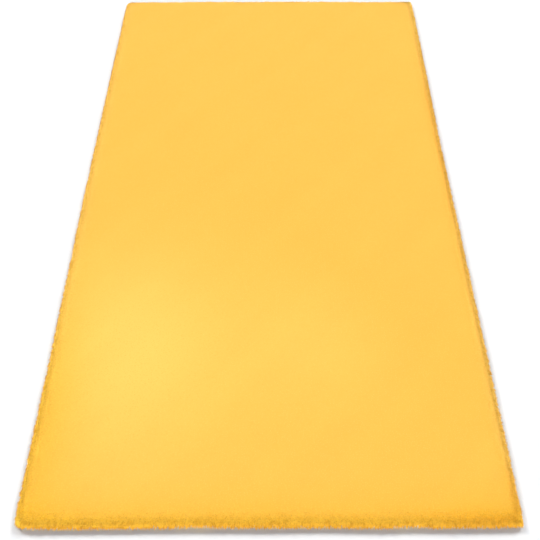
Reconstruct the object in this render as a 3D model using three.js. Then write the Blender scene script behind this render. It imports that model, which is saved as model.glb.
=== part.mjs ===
import * as THREE from 'three';

// One length of faux fur lies flat with its pile up. Sizes are in millimetres, X is across the
// rug, Y is along it, and the floor is at Z = 0 under its middle.
const width = 800;
const length = 1500;
const furHeight = 22;

// The four corners of the cloth, in the order of the walk round the rug.
const corners = [
  { name: 'nearRight', x: 1, y: -1, radius: 9 },
  { name: 'farRight', x: 1, y: 1, radius: 7 },
  { name: 'farLeft', x: -1, y: 1, radius: 16 },
  { name: 'nearLeft', x: -1, y: -1, radius: 12 },
];

// The rim in section, from the floor up: how far each row lies in from the outline, its height,
// and how many locks share one of its points. The locks grow between the second row and the third.
const rimRows = {
  foot: { inset: 12, height: 0, locksPerPoint: 2 },
  underLocks: { inset: 7.5, height: 3 },
  overLocks: { inset: 8, height: 16 },
  brow: { inset: 15, height: 19.8, locksPerPoint: 1 },
};
const shoulderReach = 32;

// The locks that lean out over the cut edge, all round. Each has four sides: it narrows at its
// waist, which has an upper and a lower edge, and droops to a point just clear of the floor.
const lockCount = 296;
const lockRootShare = 0.74;
const lockWaist = {
  share: 0.56,
  under: { inset: 4.6, height: 2.2 },
  over: { inset: 2.2, height: 10.4 },
};
const lockTip = { inset: 0.9, height: 2.2 };
// Neighbours lean to one side together, in slow and quick swings from lock to lock.
const lockSwings = [
  { reach: 2.5, turn: 0.37, phase: 0 },
  { reach: 1.7, turn: 0.151, phase: 1.3 },
];
// How far each lock strays from the others. The seed tells one kind of straying from another.
const lockStray = {
  lean: { reach: 2, seed: 1 },
  waistInset: { reach: 0.5, seed: 2 },
  waistHeight: { reach: 0.9, seed: 3 },
  tipInset: { reach: 0.9, seed: 4 },
  tipHeight: { reach: 1.2, seed: 5 },
};

// The flat of the fur is a grid of soft lumps.
const gridAcross = 20;
const gridAlong = 38;
const lumps = [
  { across: 330, along: 410, rise: 0.8, phase: 0.4 },
  { across: 170, along: -240, rise: 0.6, phase: 2.1 },
  { across: -110, along: 130, rise: 0.5, phase: 4.0 },
];

// How far the cloth's edges stray outward from straight. The ends by place across the rug:
const endDrift = [
  { across: -400, near: 0.8, far: -4.0 },
  { across: -325, near: 2.2, far: -3.6 },
  { across: -200, near: 0.8, far: -1.8 },
  { across: -100, near: 0, far: 0 },
  { across: 90, near: 0, far: 0 },
  { across: 190, near: 1.0, far: -1.6 },
  { across: 235, near: 0, far: -1.0 },
  { across: 267, near: 1.0, far: -0.8 },
  { across: 320, near: 0, far: -1.2 },
  { across: 400, near: 0, far: 0 },
];
// The sides by place along the rug:
const sideDrift = [
  { along: -750, left: 0.2, right: 1.2 },
  { along: -600, left: -0.2, right: 0.4 },
  { along: -438, left: -0.4, right: -0.1 },
  { along: -249, left: 0.2, right: -0.5 },
  { along: -24, left: 1.5, right: -1.4 },
  { along: 105, left: 1.0, right: -2.5 },
  { along: 325, left: 0, right: 0.2 },
  { along: 490, left: -1.1, right: 1.8 },
  { along: 680, left: -1.9, right: 3.6 },
  { along: 750, left: -2.0, right: 3.8 },
];

// Reads one column of a table between its rows, which rise in the column named by key.
function readTable(table, key, column, place) {
  const after = table.findIndex((row) => row[key] >= place);
  if (after === 0) return table[0][column];
  if (after < 0) return table.at(-1)[column];
  const low = table[after - 1];
  const high = table[after];
  const share = (place - low[key]) / (high[key] - low[key]);
  return THREE.MathUtils.lerp(low[column], high[column], share);
}

// A lock's own repeatable straying, up to reach either way, so that no two are quite alike.
function strayOf(lock, { reach, seed }) {
  const turned = Math.sin(lock * 12.9898 + seed * 78.233) * 43758.5453;
  return reach * (2 * (turned - Math.floor(turned)) - 1);
}

// The height that the lumps add to the flat of the fur.
function lumpRise(x, y) {
  return lumps.reduce(
    (sum, lump) =>
      sum + lump.rise * Math.sin(2 * Math.PI * (x / lump.across + y / lump.along) + lump.phase),
    0,
  );
}

// The outline as four straight edges, each followed by the round corner at its end. A walk
// starts on the near edge at the near left corner and goes round by the right.
const sections = [];
corners.forEach((corner, index) => {
  const before = corners.at(index - 1);
  const run = before.x === corner.x ? length : width;
  const straight = run - before.radius - corner.radius;
  const arc = (Math.PI / 2) * corner.radius;
  sections.push({ kind: 'edge', before, corner, size: straight });
  sections.push({ kind: 'corner', corner, size: arc });
});
let outlineLength = 0;
for (const section of sections) {
  section.start = outlineLength;
  outlineLength += section.size;
}

// Where a corner's arc has its centre when the outline is drawn in by inset.
function cornerCentre(corner, inset) {
  const back = Math.max(corner.radius, inset);
  return new THREE.Vector2(corner.x * (width / 2 - back), corner.y * (length / 2 - back));
}

// The outward direction at the start of a corner, square to the edge that leads into it.
function edgeNormal(before, corner) {
  return before.x === corner.x
    ? new THREE.Vector2(corner.x, 0)
    : new THREE.Vector2(0, corner.y);
}

// The point at a distance along the outline, drawn in by inset. The edges' drift fades out
// towards the flat of the fur.
function outlinePoint(distance, inset) {
  const along = THREE.MathUtils.euclideanModulo(distance, outlineLength);
  const section = sections.findLast(({ start }) => along >= start);
  const share = (along - section.start) / section.size;
  const { corner } = section;
  const radius = Math.max(corner.radius - inset, 0);
  const place = cornerCentre(corner, inset);
  let out;
  if (section.kind === 'corner') {
    const before = corners.at(corners.indexOf(corner) - 1);
    out = edgeNormal(before, corner).rotateAround(new THREE.Vector2(), (share * Math.PI) / 2);
    place.addScaledVector(out, radius);
  } else {
    out = edgeNormal(section.before, corner);
    const from = cornerCentre(section.before, inset);
    from.addScaledVector(out, Math.max(section.before.radius - inset, 0));
    place.addScaledVector(out, radius);
    place.lerpVectors(from, place, share);
  }
  const ease = 1 - inset / shoulderReach;
  const side = readTable(sideDrift, 'along', place.x < 0 ? 'left' : 'right', place.y);
  const end = readTable(endDrift, 'across', place.y < 0 ? 'near' : 'far', place.x);
  place.x += out.x * Math.abs(out.x) * side * ease;
  place.y += out.y * Math.abs(out.y) * end * ease;
  return place;
}

// The mesh under construction: its points, and the corners of its triangles.
const points = [];
const triangles = [];

function addPoint(place, height) {
  points.push(place.x, place.y, height);
  return points.length / 3 - 1;
}

function addQuad(a, b, c, d) {
  triangles.push(a, b, c, a, c, d);
}

// A closed row of points round the rug, each with its distance along the outline.
function addRow({ inset, height }, distances) {
  return distances.map((at) => ({ at, point: addPoint(outlinePoint(at, inset), height) }));
}

// Closes the band between two rows, of which the second lies inward or above.
function stitchRows(outer, inner) {
  const placeOf = (row, i) => row[i % row.length].at + (i < row.length ? 0 : outlineLength);
  let i = 0;
  let j = 0;
  while (i < outer.length || j < inner.length) {
    const outerIsNext =
      j === inner.length || (i < outer.length && placeOf(outer, i + 1) <= placeOf(inner, j + 1));
    const a = outer[i % outer.length].point;
    const b = inner[j % inner.length].point;
    if (outerIsNext) {
      triangles.push(a, outer[(i + 1) % outer.length].point, b);
      i += 1;
    } else {
      triangles.push(a, inner[(j + 1) % inner.length].point, b);
      j += 1;
    }
  }
}

// A lock's root holds two points of the rows under and over it, and the gap to the next lock
// lies between roots.
const lockPitch = outlineLength / lockCount;
const halfRoot = (lockPitch * lockRootShare) / 2;
const rootPlaces = [];
for (let lock = 0; lock < lockCount; lock += 1) {
  const middle = (lock + 0.5) * lockPitch;
  rootPlaces.push(middle - halfRoot, middle + halfRoot);
}
const placesEvery = (locks) =>
  Array.from({ length: lockCount / locks }, (_, i) => (i + 0.5) * locks * lockPitch);

const foot = addRow(rimRows.foot, placesEvery(rimRows.foot.locksPerPoint));
const underLocks = addRow(rimRows.underLocks, rootPlaces);
const overLocks = addRow(rimRows.overLocks, rootPlaces);
const brow = addRow(rimRows.brow, placesEvery(rimRows.brow.locksPerPoint));

stitchRows(foot, underLocks);
stitchRows(overLocks, brow);

// One lock between its root's four points. It leans to one side with its neighbours.
function addLock(lock) {
  const middle = (lock + 0.5) * lockPitch;
  const lean = lockSwings.reduce(
    (sum, { reach, turn, phase }) => sum + reach * Math.sin(lock * turn + phase),
    strayOf(lock, lockStray.lean),
  );
  const moreInset = strayOf(lock, lockStray.waistInset);
  const moreHeight = strayOf(lock, lockStray.waistHeight);
  const waistPoint = (side, { inset, height }) => {
    const at = middle + lean / 2 + side * halfRoot * lockWaist.share;
    return addPoint(outlinePoint(at, inset + moreInset), height + moreHeight);
  };
  const waist = [
    waistPoint(-1, lockWaist.under),
    waistPoint(1, lockWaist.under),
    waistPoint(1, lockWaist.over),
    waistPoint(-1, lockWaist.over),
  ];
  const tipInset = lockTip.inset + strayOf(lock, lockStray.tipInset);
  const tipHeight = lockTip.height + strayOf(lock, lockStray.tipHeight);
  const tip = addPoint(outlinePoint(middle + lean, tipInset), tipHeight);
  const [first, last] = [2 * lock, 2 * lock + 1];
  const root = [
    underLocks[first].point,
    underLocks[last].point,
    overLocks[last].point,
    overLocks[first].point,
  ];
  for (let side = 0; side < 4; side += 1) {
    const next = (side + 1) % 4;
    addQuad(root[side], root[next], waist[next], waist[side]);
    triangles.push(waist[side], waist[next], tip);
  }
}

for (let lock = 0; lock < lockCount; lock += 1) {
  addLock(lock);
  const last = 2 * lock + 1;
  const next = (last + 1) % rootPlaces.length;
  addQuad(
    underLocks[last].point,
    underLocks[next].point,
    overLocks[next].point,
    overLocks[last].point,
  );
}

// The flat of the fur, a grid with square corners at the shoulder's inner edge.
const flatGrid = [];
for (let row = 0; row <= gridAlong; row += 1) {
  const y = (row / gridAlong - 0.5) * (length - 2 * shoulderReach);
  flatGrid.push([]);
  for (let column = 0; column <= gridAcross; column += 1) {
    const x = (column / gridAcross - 0.5) * (width - 2 * shoulderReach);
    flatGrid[row].push(addPoint(new THREE.Vector2(x, y), furHeight + lumpRise(x, y)));
  }
}
for (let row = 0; row < gridAlong; row += 1) {
  for (let column = 0; column < gridAcross; column += 1) {
    const [near, far] = [flatGrid[row], flatGrid[row + 1]];
    addQuad(near[column], near[column + 1], far[column + 1], far[column]);
  }
}

// The grid's border in the order of the walk. A corner of the grid stands for a whole arc.
const border = [];
const [nearEdge, rightEdge, farEdge, leftEdge] = sections.filter(({ kind }) => kind === 'edge');
function addBorder(edge, steps, pointAt) {
  for (let step = 1; step <= steps; step += 1) {
    const halfArc = step === steps ? (Math.PI / 4) * edge.corner.radius : 0;
    border.push({ at: edge.start + (edge.size * step) / steps + halfArc, point: pointAt(step) });
  }
}
addBorder(nearEdge, gridAcross, (step) => flatGrid[0][step]);
addBorder(rightEdge, gridAlong, (step) => flatGrid[step][gridAcross]);
addBorder(farEdge, gridAcross, (step) => flatGrid[gridAlong][gridAcross - step]);
addBorder(leftEdge, gridAlong, (step) => flatGrid[gridAlong - step][0]);
stitchRows(brow, border);

// The underside lies flat on the floor.
const footOutline = foot.map(
  ({ point }) => new THREE.Vector2(points[3 * point], points[3 * point + 1]),
);
for (const [a, b, c] of THREE.ShapeUtils.triangulateShape(footOutline, [])) {
  triangles.push(foot[a].point, foot[c].point, foot[b].point);
}

const furGeometry = new THREE.BufferGeometry();
furGeometry.setAttribute('position', new THREE.Float32BufferAttribute(points, 3));
furGeometry.setIndex(triangles);

const furMaterial = new THREE.MeshStandardMaterial({
  color: 0xfccb5c,
  roughness: 1,
  metalness: 0,
  flatShading: true,
});

const furRug = new THREE.Mesh(furGeometry, furMaterial);
furRug.name = 'fur_rug';

const rug = new THREE.Group();
rug.add(furRug);

export default rug;
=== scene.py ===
import math

import bpy
import numpy as np
from mathutils import Matrix


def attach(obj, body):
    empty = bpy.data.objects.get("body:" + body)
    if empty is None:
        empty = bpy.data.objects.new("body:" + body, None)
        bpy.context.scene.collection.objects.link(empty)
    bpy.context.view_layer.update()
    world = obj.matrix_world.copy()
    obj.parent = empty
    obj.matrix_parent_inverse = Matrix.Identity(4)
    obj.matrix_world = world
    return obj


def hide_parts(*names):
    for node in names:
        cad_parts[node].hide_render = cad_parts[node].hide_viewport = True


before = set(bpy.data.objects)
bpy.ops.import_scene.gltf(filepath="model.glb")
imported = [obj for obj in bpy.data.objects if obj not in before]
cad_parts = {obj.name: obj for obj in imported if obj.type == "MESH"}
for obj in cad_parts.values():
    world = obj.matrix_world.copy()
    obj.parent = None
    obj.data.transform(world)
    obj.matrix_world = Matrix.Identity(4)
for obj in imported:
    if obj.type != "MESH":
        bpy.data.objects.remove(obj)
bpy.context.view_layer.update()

# The ground of the fur is a weft-knitted polyester cloth, cut to a rectangle. Its cut edges stray
# a little from straight and its corners are round. It lies flat on the floor, back down, and the
# pile stands in it.
WIDTH, LENGTH = 0.800, 1.500
GROUND_THICK = 0.0018
GROUND_INSET = 0.0115
GROUND_PITCH = 0.024
SHOULDER = 0.032
CORNERS = [
    {"x": 1, "y": -1, "radius": 0.009},
    {"x": 1, "y": 1, "radius": 0.007},
    {"x": -1, "y": 1, "radius": 0.016},
    {"x": -1, "y": -1, "radius": 0.012},
]
# How far the ends stray outward from straight, in millimetres, by place across the rug.
END_DRIFT = {
    "across": [-400, -325, -200, -100, 90, 190, 235, 267, 320, 400],
    "near": [0.8, 2.2, 0.8, 0, 0, 1.0, 0, 1.0, 0, 0],
    "far": [-4.0, -3.6, -1.8, 0, 0, -1.6, -1.0, -0.8, -1.2, 0],
}
# The same for the sides, by place along the rug.
SIDE_DRIFT = {
    "along": [-750, -600, -438, -249, -24, 105, 325, 490, 680, 750],
    "left": [0.2, -0.2, -0.4, 0.2, 1.5, 1.0, 0, -1.1, -1.9, -2.0],
    "right": [1.2, 0.4, -0.1, -0.5, -1.4, -2.5, 0.2, 1.8, 3.6, 3.8],
}


def read_drift(table, key, column, place):
    """The drift in metres at places in metres, from a table in millimetres."""
    return np.interp(place * 1000, table[key], table[column]) / 1000


def fit_to_cut(points):
    """Moves points of the plain rectangle on to the real cut: round corners and stray edges."""
    x, y = points[:, 0].copy(), points[:, 1].copy()
    for corner in CORNERS:
        over_x = corner["x"] * x - (WIDTH / 2 - corner["radius"])
        over_y = corner["y"] * y - (LENGTH / 2 - corner["radius"])
        inside = (over_x > 0) & (over_y > 0)
        pull = np.maximum(over_x, over_y)[inside] / np.hypot(over_x, over_y)[inside]
        x[inside] -= corner["x"] * (1 - pull) * over_x[inside]
        y[inside] -= corner["y"] * (1 - pull) * over_y[inside]
    left, right = (read_drift(SIDE_DRIFT, "along", side, y) for side in ("left", "right"))
    near, far = (read_drift(END_DRIFT, "across", end, x) for end in ("near", "far"))
    ease_x = np.clip(1 - (WIDTH / 2 - np.abs(x)) / SHOULDER, 0, 1)
    ease_y = np.clip(1 - (LENGTH / 2 - np.abs(y)) / SHOULDER, 0, 1)
    moved = points.copy()
    moved[:, 0] = x + np.sign(x) * np.where(x < 0, left, right) * ease_x
    moved[:, 1] = y + np.sign(y) * np.where(y < 0, near, far) * ease_y
    return moved


def inset_of_cut(points):
    """How far each point lies in from the real cut's nearest side."""
    x, y = points[:, 0], points[:, 1]
    left, right = (read_drift(SIDE_DRIFT, "along", side, y) for side in ("left", "right"))
    near, far = (read_drift(END_DRIFT, "across", end, x) for end in ("near", "far"))
    beside = WIDTH / 2 + np.where(x < 0, left, right) - np.abs(x)
    beyond = LENGTH / 2 + np.where(y < 0, near, far) - np.abs(y)
    return np.minimum(beside, beyond)


def points_of(mesh):
    """All vertex places of a mesh, one row each."""
    places = np.empty(3 * len(mesh.vertices))
    mesh.vertices.foreach_get("co", places)
    return places.reshape(-1, 3)


def move_points(mesh, places):
    """Puts all vertices of a mesh at new places."""
    mesh.vertices.foreach_set("co", places.ravel())
    mesh.update()


def lines_across(half, insets, pitch):
    """Grid lines from one edge to the other: close together over the rim, then evenly spaced."""
    rim = [half - inset for inset in insets]
    steps = round(2 * rim[-1] / pitch)
    flat = np.linspace(-rim[-1], rim[-1], steps + 1)[1:-1]
    return [-place for place in rim] + list(flat) + rim[::-1]


def lay_grid(name, insets, pitch):
    """A flat grid over the plain rectangle, as far as the first inset from its edges."""
    bpy.ops.object.select_all(action="DESELECT")
    columns = lines_across(WIDTH / 2, insets, pitch)
    rows = lines_across(LENGTH / 2, insets, pitch)
    bpy.ops.mesh.primitive_grid_add(
        x_subdivisions=len(columns) - 1, y_subdivisions=len(rows) - 1, size=2
    )
    grid = bpy.context.object
    grid.name = grid.data.name = name
    places = points_of(grid.data)
    column = np.rint((places[:, 0] + 1) / 2 * (len(columns) - 1)).astype(int)
    row = np.rint((places[:, 1] + 1) / 2 * (len(rows) - 1)).astype(int)
    places[:, 0], places[:, 1] = np.array(columns)[column], np.array(rows)[row]
    move_points(grid.data, places)
    return grid


def apply_modifiers(piece):
    """Makes a piece's modifiers part of its mesh, from the first to the last."""
    bpy.context.view_layer.objects.active = piece
    for modifier in list(piece.modifiers):
        bpy.ops.object.modifier_apply(modifier=modifier.name)


ground = lay_grid("ground_cloth", [GROUND_INSET], GROUND_PITCH)
move_points(ground.data, fit_to_cut(points_of(ground.data)))
thickness = ground.modifiers.new("thickness", "SOLIDIFY")
thickness.thickness = GROUND_THICK
thickness.offset = 1
apply_modifiers(ground)
CLOTH_GLINT = 0.15


def new_material(name, roughness, sheen, sheen_roughness, sheen_tint):
    """A cloth finish whose even values are set on the shader itself."""
    material = bpy.data.materials.new(name)
    material.use_nodes = True
    shader = material.node_tree.nodes["Principled BSDF"]
    shader.inputs["Roughness"].default_value = roughness
    shader.inputs["Specular IOR Level"].default_value = CLOTH_GLINT
    shader.inputs["Sheen Weight"].default_value = sheen
    shader.inputs["Sheen Roughness"].default_value = sheen_roughness
    shader.inputs["Sheen Tint"].default_value = (*sheen_tint, 1)
    return material, shader, material.node_tree


def add_node(tree, kind, **settings):
    """Adds a node. A name is first looked for among its settings, and else is an input of it."""
    node = tree.nodes.new(kind)
    for name, value in settings.items():
        if hasattr(node, name):
            setattr(node, name, value)
        else:
            live_socket(node.inputs, name.replace("_", " ")).default_value = value
    return node


def live_socket(sockets, name):
    """The socket of this name that the node's settings leave in use."""
    return next(socket for socket in sockets if socket.name == name and socket.enabled)


def feed(tree, start, node, name):
    """Leads a socket into the named input of a node."""
    tree.links.new(start, live_socket(node.inputs, name))


def mix_colours(tree, factor, low, high, blend="MIX"):
    """Mixes two colours, or two sockets, by a socket."""
    mix = add_node(tree, "ShaderNodeMix", data_type="RGBA", blend_type=blend)
    feed(tree, factor, mix, "Factor")
    for name, value in (("A", low), ("B", high)):
        if isinstance(value, tuple):
            live_socket(mix.inputs, name).default_value = (*value, 1)
        else:
            feed(tree, value, mix, name)
    return live_socket(mix.outputs, "Result")


WAVES_IN_SCALE = 20 / (2 * math.pi)


def wave_rows(tree, direction, pitch, distortion):
    """Even rows across one direction, as a wave between 0 and 1."""
    place = add_node(tree, "ShaderNodeTexCoord").outputs["Object"]
    wave = add_node(
        tree,
        "ShaderNodeTexWave",
        bands_direction=direction,
        Scale=1 / (WAVES_IN_SCALE * pitch),
        Distortion=distortion,
        Detail_Scale=3,
    )
    feed(tree, place, wave, "Vector")
    return wave.outputs["Fac"]


GROUND_YARN, GROUND_GAP = (0.72, 0.47, 0.13), (0.38, 0.22, 0.045)
WALE, COURSE = 0.0024, 0.0019
WALE_SWAY, COURSE_SWAY = 0.6, 0.8
STITCH_RELIEF, STITCH_DEPTH = 0.7, 0.0006
knit, knit_shader, tree = new_material(
    "knitted_ground", roughness=0.85, sheen=0.25, sheen_roughness=0.5, sheen_tint=(1, 0.9, 0.7)
)
stitches = add_node(tree, "ShaderNodeMath", operation="MULTIPLY")
tree.links.new(wave_rows(tree, "X", WALE, WALE_SWAY), stitches.inputs[0])
tree.links.new(wave_rows(tree, "Y", COURSE, COURSE_SWAY), stitches.inputs[1])
stitch = stitches.outputs["Value"]
feed(tree, mix_colours(tree, stitch, GROUND_GAP, GROUND_YARN), knit_shader, "Base Color")
knit_relief = add_node(tree, "ShaderNodeBump", Strength=STITCH_RELIEF, Distance=STITCH_DEPTH)
feed(tree, stitch, knit_relief, "Height")
feed(tree, knit_relief.outputs["Normal"], knit_shader, "Normal")
ground.data.materials.append(knit)
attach(ground, "root")

# The body of the pile is dense acrylic plush of one height with soft lumps. It rounds over at the
# rim and bulges out past the cut edge of the ground. Only its depth shows between the tufts' tips,
# in a darker colour that is painted shade, darker still at the rim. It stands for the CAD solid.
PILE_LOW = 0.0012
PILE_HIGH = 0.0200
RIM_INSET = 0.0050
RIM_HEIGHT = 0.0066
SHOULDER_RUN = 0.019
SHOULDER_POWER = 2.0
RIM_LINES = [
    0.0050, 0.0052, 0.0058, 0.0068, 0.0081, 0.0099, 0.0122, 0.0150, 0.0185, 0.0225, 0.0270,
]
PILE_PITCH = 0.0054
LUMPS = [
    {"across": 0.330, "along": 0.410, "rise": 0.0008, "phase": 0.4},
    {"across": 0.170, "along": -0.240, "rise": 0.0006, "phase": 2.1},
    {"across": -0.110, "along": 0.130, "rise": 0.0005, "phase": 4.0},
]


def inset_of(points):
    """How far each point lies in from the plain rectangle's nearest side."""
    return np.minimum(WIDTH / 2 - np.abs(points[:, 0]), LENGTH / 2 - np.abs(points[:, 1]))


def lump_rise(points):
    """The soft swells of the pile, as crossing waves."""
    rise = np.zeros(len(points))
    for lump in LUMPS:
        turn = points[:, 0] / lump["across"] + points[:, 1] / lump["along"]
        rise += lump["rise"] * np.sin(2 * np.pi * turn + lump["phase"])
    return rise


def pile_height(inset):
    """The height of the pile's body at a place this far in from the outline."""
    share = np.clip((inset - RIM_INSET) / SHOULDER_RUN, 0, 1)
    rise = (1 - (1 - share) ** SHOULDER_POWER) ** (1 / SHOULDER_POWER)
    return RIM_HEIGHT + (PILE_HIGH - RIM_HEIGHT) * rise


pile = lay_grid("plush_pile", RIM_LINES, PILE_PITCH)
plain = points_of(pile.data)
insets = inset_of(plain)
plain[:, 2] = pile_height(insets) + lump_rise(plain) * np.clip(insets / SHOULDER, 0, 1)
move_points(pile.data, plain)

# The lower part of the rim turns back under the bulge, and the body is closed underneath, where
# the ground covers it.
UNDER_RIM = [
    {"inset": 0.0055, "height": 0.0034},
    {"inset": 0.0070, "height": 0.0020},
    {"inset": 0.0105, "height": PILE_LOW},
]
top_faces = len(pile.data.polygons)
bpy.ops.object.mode_set(mode="EDIT")
bpy.ops.mesh.select_mode(type="EDGE")
bpy.ops.mesh.select_all(action="SELECT")
bpy.ops.mesh.region_to_loop()
inset, height = RIM_INSET, RIM_HEIGHT
for ring in UNDER_RIM:
    draw_in = [(half - ring["inset"]) / (half - inset) for half in (WIDTH / 2, LENGTH / 2)]
    bpy.ops.mesh.extrude_edges_move()
    bpy.ops.transform.resize(value=(*draw_in, 1), center_override=(0, 0, 0))
    bpy.ops.transform.translate(value=(0, 0, ring["height"] - height))
    inset, height = ring["inset"], ring["height"]
bpy.ops.mesh.edge_face_add()

# The turned-back faces come out in no fixed order, so they are sorted by their distance from one
# spot beside the rug. Every run then plants the same locks on them.
SORTING_SPOT = (0.37, 1.21, 0.05)
bpy.ops.mesh.select_mode(type="FACE")
bpy.ops.mesh.select_all(action="DESELECT")
bpy.ops.object.mode_set(mode="OBJECT")
turned_back = np.arange(len(pile.data.polygons)) >= top_faces
pile.data.polygons.foreach_set("select", turned_back)
bpy.context.scene.cursor.location = SORTING_SPOT
bpy.ops.object.mode_set(mode="EDIT")
bpy.ops.mesh.sort_elements(type="CURSOR_DISTANCE", elements={"FACE"})
bpy.ops.object.mode_set(mode="OBJECT")
bpy.context.scene.cursor.location = (0, 0, 0)
pile.data.shade_smooth()

# Each place on the body knows how near the rim it is, how the pile is combed there and which way
# its tips fall: upright in the field, and outward and down over the rim.
LEAN_RUN = 0.027
LEAN_FIELD, LEAN_RIM = math.radians(4), math.radians(102)
LEAN_CURVE = 1.3
UNDER, COVERED = 1.1, 3.0
HEIGHT_SLACK = 0.0001


def write_on(mesh, name, kind, values):
    """Writes one value or vector for each point of a mesh."""
    slot = {"FLOAT": "value", "FLOAT_VECTOR": "vector"}[kind]
    mesh.attributes.new(name, kind, "POINT").data.foreach_set(slot, np.ravel(values))


def read_values(mesh, name):
    """The values that were written on the points of a mesh."""
    values = np.empty(len(mesh.vertices), dtype=np.float32)
    mesh.attributes[name].data.foreach_get("value", values)
    return values


plain = points_of(pile.data)
over = [
    np.clip((np.abs(plain[:, side]) - (half - LEAN_RUN - RIM_INSET)) / LEAN_RUN, 0, 1)
    for side, half in ((0, WIDTH / 2), (1, LENGTH / 2))
]
outward = np.column_stack([np.sign(plain[:, 0]) * over[0], np.sign(plain[:, 1]) * over[1]])
rim = np.clip(np.hypot(*outward.T), 0, 1)
outward /= np.maximum(np.hypot(*outward.T), 1e-6)[:, None]
rim[plain[:, 2] < RIM_HEIGHT - HEIGHT_SLACK] = UNDER
rim[plain[:, 2] < PILE_LOW + HEIGHT_SLACK] = COVERED
lean = LEAN_FIELD + (LEAN_RIM - LEAN_FIELD) * rim ** LEAN_CURVE
comb = np.column_stack([outward * np.sin(lean)[:, None], np.cos(lean)])
fall = np.column_stack([outward, -rim])
write_on(pile.data, "rim", "FLOAT", rim)
write_on(pile.data, "comb", "FLOAT_VECTOR", comb)
write_on(pile.data, "fall", "FLOAT_VECTOR", fall)

# Patches of painted light and shade make the pile a little paler or duller in places, and some
# give it a fuller gold. A fuller, deeper gold is also painted shade along the near end and the
# rim, where the pile leans over, and a paler tone all round the rim is a painted highlight.
LIGHT_AND_SHADE_PATCHES = [
    {"x": -0.25, "y": -0.43, "across": 0.17, "along": 0.22, "pale": 0.40, "gold": 0.0},
    {"x": 0.08, "y": -0.42, "across": 0.16, "along": 0.16, "pale": 0.16, "gold": 0.0},
    {"x": -0.42, "y": -0.60, "across": 0.08, "along": 0.26, "pale": 0.0, "gold": 0.70},
    {"x": 0.41, "y": 0.20, "across": 0.03, "along": 0.30, "pale": -0.5, "gold": 0.05},
    {"x": 0.38, "y": -0.73, "across": 0.10, "along": 0.07, "pale": -0.5, "gold": 0.25},
    {"x": 0.30, "y": -0.10, "across": 0.15, "along": 0.30, "pale": -0.12, "gold": 0.0},
]
# Painted shade: the fuller gold along the near end, by millimetres in from it, and round the rim.
# Painted highlight: the paler tone round the rim.
SHADE_GOLD_NEAR = {"inset": [0, 12, 25, 45, 80], "gold": [1.0, 0.62, 0.34, 0.14, 0.0]}
SHADE_GOLD_RIM, RIM_HIGHLIGHT = 0.36, 0.64
# The body's colour is painted shade: it stands part way down the fibres' colours, and lower towards
# the rim.
BODY_TIP, BODY_RIM_SHADE = 0.50, 0.10
pale, gold = np.zeros(len(plain)), np.zeros(len(plain))
for patch in LIGHT_AND_SHADE_PATCHES:
    away = ((plain[:, 0] - patch["x"]) / patch["across"]) ** 2
    away += ((plain[:, 1] - patch["y"]) / patch["along"]) ** 2
    pale += patch["pale"] * np.exp(-away)
    gold += patch["gold"] * np.exp(-away)
gold += np.interp((plain[:, 1] + LENGTH / 2) * 1000, SHADE_GOLD_NEAR["inset"], SHADE_GOLD_NEAR["gold"])
gold += SHADE_GOLD_RIM * np.clip(rim, 0, 1) ** 2
pale += RIM_HIGHLIGHT * (over[0] ** 2 + over[1] ** 2)
write_on(pile.data, "pale", "FLOAT", pale)
write_on(pile.data, "gold", "FLOAT", gold)
write_on(pile.data, "tip", "FLOAT", BODY_TIP * np.clip(1 - BODY_RIM_SHADE * rim, 0, 1))
move_points(pile.data, fit_to_cut(plain))

# Uneven shearing leaves the top of the pile with small soft swells of its own, which die out
# towards the rim.
UNEVEN = [{"size": 0.060, "rise": 0.0012}, {"size": 0.019, "rise": 0.0004}]
loose = pile.vertex_groups.new(name="loose")
looseness = np.round(np.clip(1 - rim, 0, 1), 2)
for weight in np.unique(looseness):
    loose.add(np.flatnonzero(looseness == weight).tolist(), float(weight), "REPLACE")
for number, swell in enumerate(UNEVEN):
    clouds = bpy.data.textures.new(f"shearing_{number}", "CLOUDS")
    clouds.noise_scale = swell["size"]
    push = pile.modifiers.new(clouds.name, "DISPLACE")
    push.texture = clouds
    push.texture_coords = "LOCAL"
    push.direction = "Z"
    push.strength = swell["rise"]
    push.vertex_group = "loose"
apply_modifiers(pile)

# The fibres are dyed acrylic. Their colours run from a deep ochre at the root, painted shade of the
# pile's depth, to a clear warm yellow at the tip, with a fine grain where the fibres' sides show.
FUR_STOPS = [
    {"at": 0.00, "colour": (0.54, 0.235, 0.014)},
    {"at": 0.35, "colour": (0.90, 0.455, 0.054)},
    {"at": 0.70, "colour": (0.965, 0.522, 0.090)},
    {"at": 1.00, "colour": (0.985, 0.550, 0.112)},
]
# The pale colour is painted light and the dull one painted shade, for the patches and the rim; the
# dull one is also the locks' own random duller tone. The gold tint is painted shade.
PALE, DULL = (0.975, 0.740, 0.190), (0.780, 0.470, 0.080)
SHADE_GOLD_TINT = (1.0, 0.95, 0.34)
TONE_CHANGE = 0.30
SPECKLES, SPECKLES_LESS = 2.4, 1.12
GRAIN, GRAIN_MORE = 0.9, 0.2
GRAIN_DEPTH = 0.0008


def read_attribute(tree, name):
    """A value that was written on the piece, for its material."""
    return add_node(tree, "ShaderNodeAttribute", attribute_name=name).outputs["Fac"]


def scaled(tree, start, by, less=0.0):
    """A socket's value times a number, less another, kept between 0 and 1."""
    node = add_node(tree, "ShaderNodeMath", operation="MULTIPLY_ADD", use_clamp=True)
    tree.links.new(start, node.inputs[0])
    node.inputs[1].default_value = by
    node.inputs[2].default_value = -less
    return node.outputs["Value"]


def set_stops(ramp, stops):
    """Gives a colour ramp its stops."""
    elements = ramp.color_ramp.elements
    while len(elements) < len(stops):
        elements.new(0.5)
    for element, stop in zip(elements, stops):
        element.position = stop["at"]
        element.color = (*stop["colour"], 1)


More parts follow.
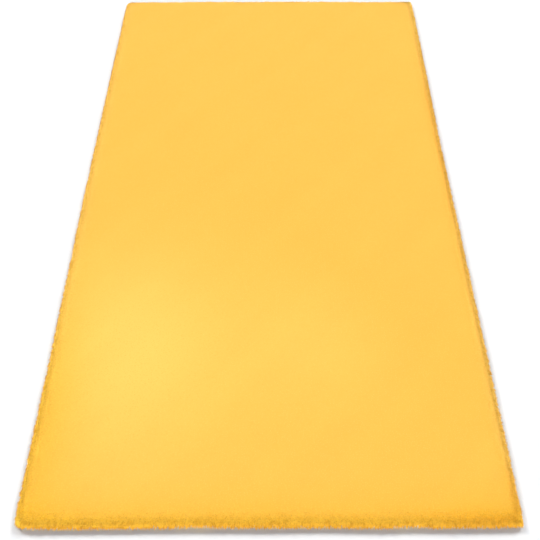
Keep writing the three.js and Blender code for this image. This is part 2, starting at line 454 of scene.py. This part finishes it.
def fur_finish(name, speckle_size, relief):
    """The fur's colour by how far along the fibre a place is, with its painted light and shade."""
    material, shader, tree = new_material(
        name, roughness=0.8, sheen=0.04, sheen_roughness=0.4, sheen_tint=(1, 0.8, 0.4)
    )
    ramp = add_node(tree, "ShaderNodeValToRGB")
    ramp.color_ramp.interpolation = "B_SPLINE"
    set_stops(ramp, FUR_STOPS)
    feed(tree, read_attribute(tree, "tip"), ramp, "Fac")
    colour = ramp.outputs["Color"]
    pale, gold = read_attribute(tree, "pale"), read_attribute(tree, "gold")
    # Painted light and painted shade from the patches and the rim, then the gold tint of painted
    # shade.
    colour = mix_colours(tree, scaled(tree, pale, 1), colour, PALE)
    colour = mix_colours(tree, scaled(tree, pale, -1), colour, DULL)
    colour = mix_colours(tree, scaled(tree, gold, 1), colour, SHADE_GOLD_TINT, "MULTIPLY")
    tone = scaled(tree, read_attribute(tree, "tone"), TONE_CHANGE)
    colour = mix_colours(tree, tone, colour, DULL)
    place = add_node(tree, "ShaderNodeTexCoord").outputs["Object"]
    speckle = add_node(tree, "ShaderNodeTexNoise", Scale=1 / speckle_size, Detail=3)
    feed(tree, place, speckle, "Vector")
    speckles = scaled(tree, speckle.outputs["Fac"], SPECKLES, SPECKLES_LESS)
    grainy = mix_colours(tree, speckles, colour, FUR_STOPS[0]["colour"])
    colour = mix_colours(tree, scaled(tree, gold, GRAIN, -GRAIN_MORE), colour, grainy)
    feed(tree, colour, shader, "Base Color")
    bump = add_node(tree, "ShaderNodeBump", Strength=relief, Distance=GRAIN_DEPTH)
    feed(tree, speckle.outputs["Fac"], bump, "Height")
    feed(tree, bump.outputs["Normal"], shader, "Normal")
    return material


plush = fur_finish("plush_depth", speckle_size=0.0012, relief=0.5)
pile.data.materials.append(plush)
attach(pile, "root")
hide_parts("fur_rug")

# The tips of the tufts stand close together all over the body, sheared to one length. Each is a
# low pointed lock, and between them stand single fine fibres.
# Each section's "tip" places it on the fibre colours, so the darker roots are painted shade.
TUFT_SECTIONS = [
    {"up": -0.0012, "fall": 0.0000, "width": 0.0076, "tip": 0.50},
    {"up": 0.0012, "fall": 0.0004, "width": 0.0000, "tip": 1.00},
]
FIBRE_SECTIONS = [
    {"up": -0.0008, "fall": 0.0000, "width": 0.0008, "tip": 0.60},
    {"up": 0.0030, "fall": 0.0010, "width": 0.0000, "tip": 1.00},
]
HALVES = [{"name": "near", "from": -1, "to": 0}, {"name": "far", "from": 0, "to": 1}]
LOCK_SIDES = 3
# Where a lock's base, sides and tip lie in its own cell of the bake's map.
MAP_BASE = {"across": 0.5, "up": 0.05, "wide": 0.4, "high": 0.04}
MAP_FOOT, MAP_RISE, MAP_TIP = 0.12, 0.80, 0.98
MAP_SIDE = 0.48 / LOCK_SIDES


def make_lock(name, sections):
    """A closed pointed lock that stands on +Z, and whose upper part falls towards +X."""
    bpy.ops.object.select_all(action="DESELECT")
    root = sections[0]
    at = (root["fall"], 0, root["up"])
    bpy.ops.mesh.primitive_circle_add(
        vertices=LOCK_SIDES, radius=root["width"] / 2, fill_type="NGON", location=at
    )
    lock = bpy.context.object
    lock.name = lock.data.name = name
    bpy.ops.object.mode_set(mode="EDIT")
    for below, section in zip(sections, sections[1:]):
        step = (section["fall"] - below["fall"], 0, section["up"] - below["up"])
        bpy.ops.mesh.extrude_region_move(TRANSFORM_OT_translate={"value": step})
        if section["width"] > 0:
            narrow = section["width"] / below["width"]
            centre = (section["fall"], 0, section["up"])
            bpy.ops.transform.resize(value=(narrow, narrow, 1), center_override=centre)
        else:
            bpy.ops.mesh.merge(type="CENTER")
    bpy.ops.mesh.select_all(action="SELECT")
    bpy.ops.mesh.normals_make_consistent(inside=False)
    bpy.ops.object.mode_set(mode="OBJECT")
    bpy.ops.object.transform_apply(location=True)
    places = points_of(lock.data)
    centres = np.array([(section["fall"], 0, section["up"]) for section in sections])
    nearest = np.linalg.norm(places[:, None] - centres[None], axis=2).argmin(axis=1)
    tips = np.array([section["tip"] for section in sections])[nearest]
    write_on(lock.data, "tip", "FLOAT", tips)
    unroll(lock, places, tips, centres[nearest])
    return lock


def unroll(lock, places, tips, centres):
    """Unrolls a lock's sides into the bake's map, root to tip upwards, its base as a low strip."""
    mesh = lock.data
    flat = mesh.uv_layers.new(name="OFBake")
    around = np.arctan2(places[:, 1] - centres[:, 1], places[:, 0] - centres[:, 0])
    for face in mesh.polygons:
        mine = list(face.vertices)
        base = len(mine) == LOCK_SIDES and np.ptp(tips[mine]) == 0
        rings = [v for v in mine if tips[v] < tips.max()]
        middle = math.atan2(np.sin(around[rings]).sum(), np.cos(around[rings]).sum())
        across = middle / (2 * math.pi) % 1
        for corner, v in zip(face.loop_indices, mine):
            turn = (around[v] - middle + math.pi) % (2 * math.pi) - math.pi
            if base:
                beside = MAP_BASE["across"] + MAP_BASE["wide"] * math.cos(around[v])
                spot = (beside, MAP_BASE["up"] + MAP_BASE["high"] * math.sin(around[v]))
            elif tips[v] == tips.max():
                spot = (across, MAP_TIP)
            else:
                spot = (across + np.sign(turn) * MAP_SIDE, MAP_FOOT + MAP_RISE * tips[v])
            flat.data[corner].uv = spot


def read_bed(tree, name, kind="FLOAT"):
    """A value that was written on the pile's body, for planting on it."""
    node = add_node(tree, "GeometryNodeInputNamedAttribute", data_type=kind, Name=name)
    return live_socket(node.outputs, "Attribute")


def within(tree, value, lowest, highest):
    """True where a socket's value lies between two limits."""
    both = add_node(tree, "FunctionNodeBooleanMath", operation="AND")
    for number, (test, limit) in enumerate((("GREATER_EQUAL", lowest), ("LESS_THAN", highest))):
        compare = add_node(tree, "FunctionNodeCompare", operation=test, B=limit)
        feed(tree, value, compare, "A")
        tree.links.new(compare.outputs["Result"], both.inputs[number])
    return both.outputs["Boolean"]


def add_vectors(tree, first, second):
    """The sum of two sockets."""
    total = add_node(tree, "ShaderNodeVectorMath", operation="ADD")
    tree.links.new(first, total.inputs[0])
    tree.links.new(second, total.inputs[1])
    return total.outputs["Vector"]


# How many places are tried for a lock in each square of the spacing.
TRIES = 4


def plant(piece, lock, bed_part, how):
    """Makes a modifier that plants copies of a lock on the piece, which they then replace."""
    tree = bpy.data.node_groups.new("planting", "GeometryNodeTree")
    tree.interface.new_socket("bed", in_out="INPUT", socket_type="NodeSocketGeometry")
    tree.interface.new_socket("locks", in_out="OUTPUT", socket_type="NodeSocketGeometry")
    bed = add_node(tree, "NodeGroupInput").outputs["bed"]
    scatter = add_node(
        tree,
        "GeometryNodeDistributePointsOnFaces",
        distribute_method="POISSON",
        Distance_Min=how["spacing"],
        Density_Max=TRIES / how["spacing"] ** 2,
        Seed=how["seed"],
    )
    feed(tree, bed, scatter, "Mesh")
    feed(tree, within(tree, read_bed(tree, "rim"), *how["rim"]), scatter, "Selection")
    place = add_node(tree, "GeometryNodeInputPosition").outputs["Position"]
    along = add_node(tree, "ShaderNodeSeparateXYZ")
    feed(tree, place, along, "Vector")
    part = add_node(tree, "GeometryNodeSeparateGeometry")
    feed(tree, scatter.outputs["Points"], part, "Geometry")
    feed(tree, within(tree, along.outputs["Y"], *bed_part), part, "Selection")
    upright = add_node(
        tree, "GeometryNodeStoreNamedAttribute", data_type="FLOAT_VECTOR", Name="bed_normal"
    )
    feed(tree, part.outputs["Selection"], upright, "Geometry")
    feed(tree, scatter.outputs["Normal"], upright, "Value")

    clouds = add_node(tree, "ShaderNodeTexNoise", Scale=1 / how["group"], Detail=2)
    grouped = add_node(tree, "ShaderNodeVectorMath", operation="MULTIPLY_ADD")
    tree.links.new(clouds.outputs["Color"], grouped.inputs[0])
    grouped.inputs[1].default_value = (2 * how["group_lean"],) * 3
    grouped.inputs[2].default_value = (-how["group_lean"],) * 3
    turned = None
    for number, (axis, pivot, bearing) in enumerate((("Z", "AUTO", "comb"), ("X", "Z", "fall"))):
        wild = how["stray"][number]
        chance = add_node(
            tree,
            "FunctionNodeRandomValue",
            data_type="FLOAT_VECTOR",
            Min=(-wild,) * 3,
            Max=(wild,) * 3,
            Seed=how["seed"] + 1 + number,
        )
        bearing = read_bed(tree, bearing, "FLOAT_VECTOR")
        bearing = add_vectors(tree, bearing, grouped.outputs["Vector"])
        bearing = add_vectors(tree, bearing, live_socket(chance.outputs, "Value"))
        align = add_node(tree, "FunctionNodeAlignRotationToVector", axis=axis, pivot_axis=pivot)
        feed(tree, bearing, align, "Vector")
        if turned:
            feed(tree, turned, align, "Rotation")
        turned = align.outputs["Rotation"]

    pattern = add_node(tree, "GeometryNodeObjectInfo", Object=lock)
    stand = add_node(tree, "GeometryNodeInstanceOnPoints")
    feed(tree, upright.outputs["Geometry"], stand, "Points")
    feed(tree, pattern.outputs["Geometry"], stand, "Instance")
    feed(tree, turned, stand, "Rotation")
    least, most = how["sizes"]
    size = add_node(tree, "FunctionNodeRandomValue", Min=least, Max=most, Seed=how["seed"] + 3)
    longer = add_node(tree, "ShaderNodeMapRange", From_Min=max(how["rim"][0], 0), From_Max=1)
    longer.inputs["To Min"].default_value = how["inner_size"]
    feed(tree, read_bed(tree, how["size_by"]), longer, "Value")
    by_place = add_node(tree, "ShaderNodeMath", operation="MULTIPLY")
    tree.links.new(longer.outputs["Result"], by_place.inputs[0])
    tree.links.new(live_socket(size.outputs, "Value"), by_place.inputs[1])
    feed(tree, by_place.outputs["Value"], stand, "Scale")
    tone = add_node(tree, "FunctionNodeRandomValue", Seed=how["seed"] + 4)
    dyed = add_node(tree, "GeometryNodeStoreNamedAttribute", domain="INSTANCE", Name="tone")
    feed(tree, stand.outputs["Instances"], dyed, "Geometry")
    feed(tree, live_socket(tone.outputs, "Value"), dyed, "Value")
    # The partings between groups are painted shade: where this noise is high, the locks' tip colour
    # is darkened later.
    partings = add_node(tree, "ShaderNodeTexNoise", Scale=1 / how["parting"], Detail=1)
    gap = add_node(tree, "ShaderNodeMapRange", From_Min=how["gap"][0], From_Max=how["gap"][1])
    feed(tree, live_socket(partings.outputs, "Fac"), gap, "Value")
    parted = add_node(tree, "GeometryNodeStoreNamedAttribute", domain="INSTANCE", Name="parted")
    feed(tree, dyed.outputs["Geometry"], parted, "Geometry")
    feed(tree, gap.outputs["Result"], parted, "Value")
    realize = add_node(tree, "GeometryNodeRealizeInstances")
    feed(tree, parted.outputs["Geometry"], realize, "Geometry")
    out = add_node(tree, "NodeGroupOutput")
    feed(tree, realize.outputs["Geometry"], out, "locks")
    piece.modifiers.new("planting", "NODES").node_group = tree


# A lock is painted with less of its bright tip colour low down, out past the cut, and in the
# partings between groups: this darkening is painted shade.
FLOOR_GAP = 0.0004
LOW_SHADE = {"height": [0.0010, 0.0080], "share": [0.15, 1.0]}
OUTER_SHADE = {"inset": [0.0000, 0.0035, 0.0065], "share": [0.12, 0.50, 1.0]}
PARTED_HEIGHTS = [0.006, 0.018]


def grow_locks(name, lock, bed_part, how, material):
    """A new piece of locks, planted on part of the pile's body."""
    bpy.ops.object.select_all(action="DESELECT")
    pile.select_set(True)
    bpy.context.view_layer.objects.active = pile
    bpy.ops.object.duplicate()
    piece = bpy.context.object
    piece.name = piece.data.name = name
    piece.data.attributes.remove(piece.data.attributes["tip"])
    plant(piece, lock, bed_part, how)
    apply_modifiers(piece)
    mesh = piece.data
    each = len(lock.data.vertices)
    places = points_of(mesh)
    places[:, 2] = np.maximum(places[:, 2], FLOOR_GAP)
    move_points(mesh, places)
    tip, pale, parted = (read_values(mesh, key) for key in ("tip", "pale", "parted"))
    # Painted shade: the tip colour darkens in the partings, low down and out past the cut, and the
    # painted light fades with it.
    tip *= 1 - parted * np.interp(places[:, 2], PARTED_HEIGHTS, how["parted"])
    tip *= np.interp(places[:, 2], LOW_SHADE["height"], LOW_SHADE["share"])
    tip *= np.interp(inset_of_cut(places), OUTER_SHADE["inset"], OUTER_SHADE["share"])
    mesh.attributes["tip"].data.foreach_set("value", tip)
    mesh.attributes["pale"].data.foreach_set("value", pale * tip)
    calm_shading(mesh, how["calm"], how["lift"])
    lay_out_cells(mesh, len(lock.data.loops), places.reshape(-1, each, 3).mean(axis=1))
    for spare in ("rim", "comb", "fall", "bed_normal", "parted", "loose", "id", "UVMap"):
        if spare in mesh.attributes:
            mesh.attributes.remove(mesh.attributes[spare])
    mesh.materials.clear()
    mesh.materials.append(material)
    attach(piece, "root")
    return piece


# High on the rim the locks' normals are also turned up, so that they shade as the field does.
LIFT_FROM, LIFT_OVER = 0.0120, 0.0060


def calm_shading(mesh, share, lift):
    """Turns the locks' normals part of the way to the bed's, so that they shade as one soft pile."""
    mesh.shade_smooth()
    own = np.empty(3 * len(mesh.vertices), dtype=np.float32)
    bed = np.empty_like(own)
    mesh.vertices.foreach_get("normal", own)
    mesh.attributes["bed_normal"].data.foreach_get("vector", bed)
    spots = np.empty_like(own)
    mesh.vertices.foreach_get("co", spots)
    bed[2::3] += lift * np.clip((spots[2::3] - LIFT_FROM) / LIFT_OVER, 0, 1)
    mixed = (share * bed + (1 - share) * own).reshape(-1, 3)
    mixed /= np.maximum(np.linalg.norm(mixed, axis=1), 1e-6)[:, None]
    mesh.normals_split_custom_set_from_vertices(mixed)


CELL_MARGIN = 0.05


def lay_out_cells(mesh, corners_each, middles):
    """Gives each lock its own cell in the bake's map, next to those of the locks beside it."""
    across = math.ceil(math.sqrt(len(middles)))
    by_row = np.argsort(middles[:, 1], kind="stable")
    cell = np.empty((len(middles), 2))
    for row in range(across):
        here = by_row[row * across : (row + 1) * across]
        cell[here[np.argsort(middles[here, 0], kind="stable")], 0] = np.arange(len(here))
        cell[here, 1] = row
    flat = np.empty(2 * len(mesh.loops), dtype=np.float32)
    mesh.uv_layers["OFBake"].uv.foreach_get("vector", flat)
    flat = flat.reshape(len(middles), corners_each, 2)
    flat = (cell[:, None, :] + CELL_MARGIN + (1 - 2 * CELL_MARGIN) * flat) / across
    mesh.uv_layers["OFBake"].uv.foreach_set("vector", flat.ravel())


tuft_fur = fur_finish("plush_tips", speckle_size=0.0024, relief=0.3)


def plant_halves(kind, sections, planting):
    """Plants one kind of lock all over its part of the rug, as a near and a far piece."""
    lock = make_lock(kind, sections)
    pieces = []
    for half in HALVES:
        part = (half["from"], half["to"])
        pieces.append(grow_locks(f"{kind}_{half['name']}", lock, part, planting, tuft_fur))
    bpy.data.objects.remove(lock)
    return pieces


# "rim" gives the part of the body that a kind stands on, "group" and "parting" how wide the groups
# that lean together and the gaps between them are, where the colour is painted dark as shade, and
# "stray" how far single locks lean away.
TUFT_PLANTING = {
    "spacing": 0.0031, "seed": 3, "rim": (-1, 1.05), "group": 0.030, "group_lean": 0.20,
    "stray": (0.15, 1.0), "sizes": (0.85, 1.15), "size_by": "gold", "inner_size": 0.8,
    "calm": 0.88, "lift": 1.5, "parting": 0.0040, "gap": (0.60, 0.38), "parted": (0.80, 0.40),
}
FIBRE_PLANTING = {
    "spacing": 0.0042, "seed": 11, "rim": (-1, 1.05), "group": 0.030, "group_lean": 0.30,
    "stray": (0.45, 1.0), "sizes": (0.60, 1.20), "size_by": "gold", "inner_size": 0.75,
    "calm": 0.88, "lift": 1.5, "parting": 0.0040, "gap": (0.60, 0.38), "parted": (0.80, 0.40),
}
cover = plant_halves("tufts", TUFT_SECTIONS, TUFT_PLANTING)
cover += plant_halves("fibres", FIBRE_SECTIONS, FIBRE_PLANTING)

# Over the rim the pile opens out. Long tufts of the same acrylic, and thinner wisps between them,
# lean outward past the cut edge and droop towards the floor, in groups that lean together, with
# partings between them that are painted dark, as shade.
RIM_SECTIONS = [
    {"up": -0.0015, "fall": 0.0000, "width": 0.0026, "tip": 0.40},
    {"up": 0.0040, "fall": 0.0007, "width": 0.0021, "tip": 0.85},
    {"up": 0.0082, "fall": 0.0030, "width": 0.0000, "tip": 1.00},
]
RIM_PLANTING = {
    "spacing": 0.0016, "seed": 21, "rim": (0.74, 1.08), "group": 0.008, "group_lean": 0.9,
    "stray": (0.20, 0.35), "sizes": (0.70, 1.0), "size_by": "rim", "inner_size": 0.45,
    "calm": 0.75, "lift": 4.0, "parting": 0.006, "gap": (0.48, 0.40), "parted": (1.0, 0.50),
}
WISP_SECTIONS = [
    {"up": -0.0015, "fall": 0.0000, "width": 0.0013, "tip": 0.45},
    {"up": 0.0046, "fall": 0.0009, "width": 0.0010, "tip": 0.90},
    {"up": 0.0088, "fall": 0.0034, "width": 0.0000, "tip": 1.00},
]
WISP_PLANTING = {
    "spacing": 0.0020, "seed": 47, "rim": (0.62, 1.08), "group": 0.008, "group_lean": 0.9,
    "stray": (0.30, 0.6), "sizes": (0.60, 1.0), "size_by": "rim", "inner_size": 0.45,
    "calm": 0.6, "lift": 4.0, "parting": 0.006, "gap": (0.48, 0.40), "parted": (1.0, 0.50),
}
cover += plant_halves("rim_tufts", RIM_SECTIONS, RIM_PLANTING)
cover += plant_halves("rim_wisps", WISP_SECTIONS, WISP_PLANTING)

# The rug lies on a wide pale studio floor. Two soft lamps stand behind it, to the left and right,
# so its near edge has a short soft shadow. A low lamp in front and a surround that is bright only
# near the floor fill in that edge.
FLOOR_SIZE = 40
FLOOR_COLOUR, FLOOR_ROUGHNESS = (0.770, 0.782, 0.803), 0.9
bpy.ops.object.select_all(action="DESELECT")
bpy.ops.mesh.primitive_plane_add(size=FLOOR_SIZE)
floor = bpy.context.object
floor.name = floor.data.name = "studio_floor"
floor_paint = bpy.data.materials.new("floor_paint")
floor_paint.use_nodes = True
paint = floor_paint.node_tree.nodes["Principled BSDF"]
paint.inputs["Base Color"].default_value = (*FLOOR_COLOUR, 1)
paint.inputs["Roughness"].default_value = FLOOR_ROUGHNESS
paint.inputs["Specular IOR Level"].default_value = 0
floor.data.materials.append(floor_paint)

WARM, WHITE = (1.0, 0.99, 0.95), (1.0, 0.99, 1.0)
LAMPS = [
    {"name": "left_lamp", "height": 40, "turn": 41, "width": 20, "power": 2.18, "colour": WARM},
    {"name": "right_lamp", "height": 40, "turn": -34, "width": 20, "power": 2.22, "colour": WARM},
    {"name": "fill_lamp", "height": 22, "turn": 180, "width": 30, "power": 1.80, "colour": WHITE},
]
for spec in LAMPS:
    tilt = -math.radians(90 - spec["height"])
    bpy.ops.object.light_add(type="SUN", rotation=(tilt, 0, math.radians(spec["turn"])))
    lamp = bpy.context.object
    lamp.name = lamp.data.name = spec["name"]
    lamp.data.energy = spec["power"]
    lamp.data.angle = math.radians(spec["width"])
    lamp.data.color = spec["colour"]

# The surround's light by height, from the floor line at 0 to straight up at 1.
SURROUND = [
    {"at": 0.00, "colour": (5.5, 5.6, 5.9)},
    {"at": 0.10, "colour": (5.5, 5.6, 5.9)},
    {"at": 0.22, "colour": (0.85, 0.86, 0.92)},
    {"at": 0.40, "colour": (0.06, 0.07, 0.09)},
]
surround = bpy.data.worlds.new("surround")
surround.use_nodes = True
tree = surround.node_tree
heading = add_node(tree, "ShaderNodeSeparateXYZ")
feed(tree, add_node(tree, "ShaderNodeTexCoord").outputs["Generated"], heading, "Vector")
sky = add_node(tree, "ShaderNodeValToRGB")
set_stops(sky, SURROUND)
feed(tree, heading.outputs["Z"], sky, "Fac")
feed(tree, sky.outputs["Color"], tree.nodes["Background"], "Color")
bpy.context.scene.world = surround

# The camera stands before the near end, at chest height, and looks down along the rug through an
# ordinary lens.
CAMERA_PLACE = (-0.0001, -1.2016, 1.1812)
CAMERA_YAW, CAMERA_DOWN, CAMERA_ROLL = (math.radians(angle) for angle in (-0.157, 50.296, 0.08))
CAMERA_LENS, CAMERA_FILM, CAMERA_SIGHT = 50.88, 36, 100
bpy.ops.object.camera_add()
camera = bpy.context.object
camera.name = camera.data.name = "studio_camera"
camera.matrix_world = (
    Matrix.Translation(CAMERA_PLACE)
    @ Matrix.Rotation(CAMERA_YAW, 4, "Z")
    @ Matrix.Rotation(math.pi / 2 - CAMERA_DOWN, 4, "X")
    @ Matrix.Rotation(CAMERA_ROLL, 4, "Z")
)
camera.data.lens = CAMERA_LENS
camera.data.sensor_width = CAMERA_FILM
camera.data.clip_end = CAMERA_SIGHT
bpy.context.scene.camera = camera
bpy.context.scene.view_settings.view_transform = "Standard"
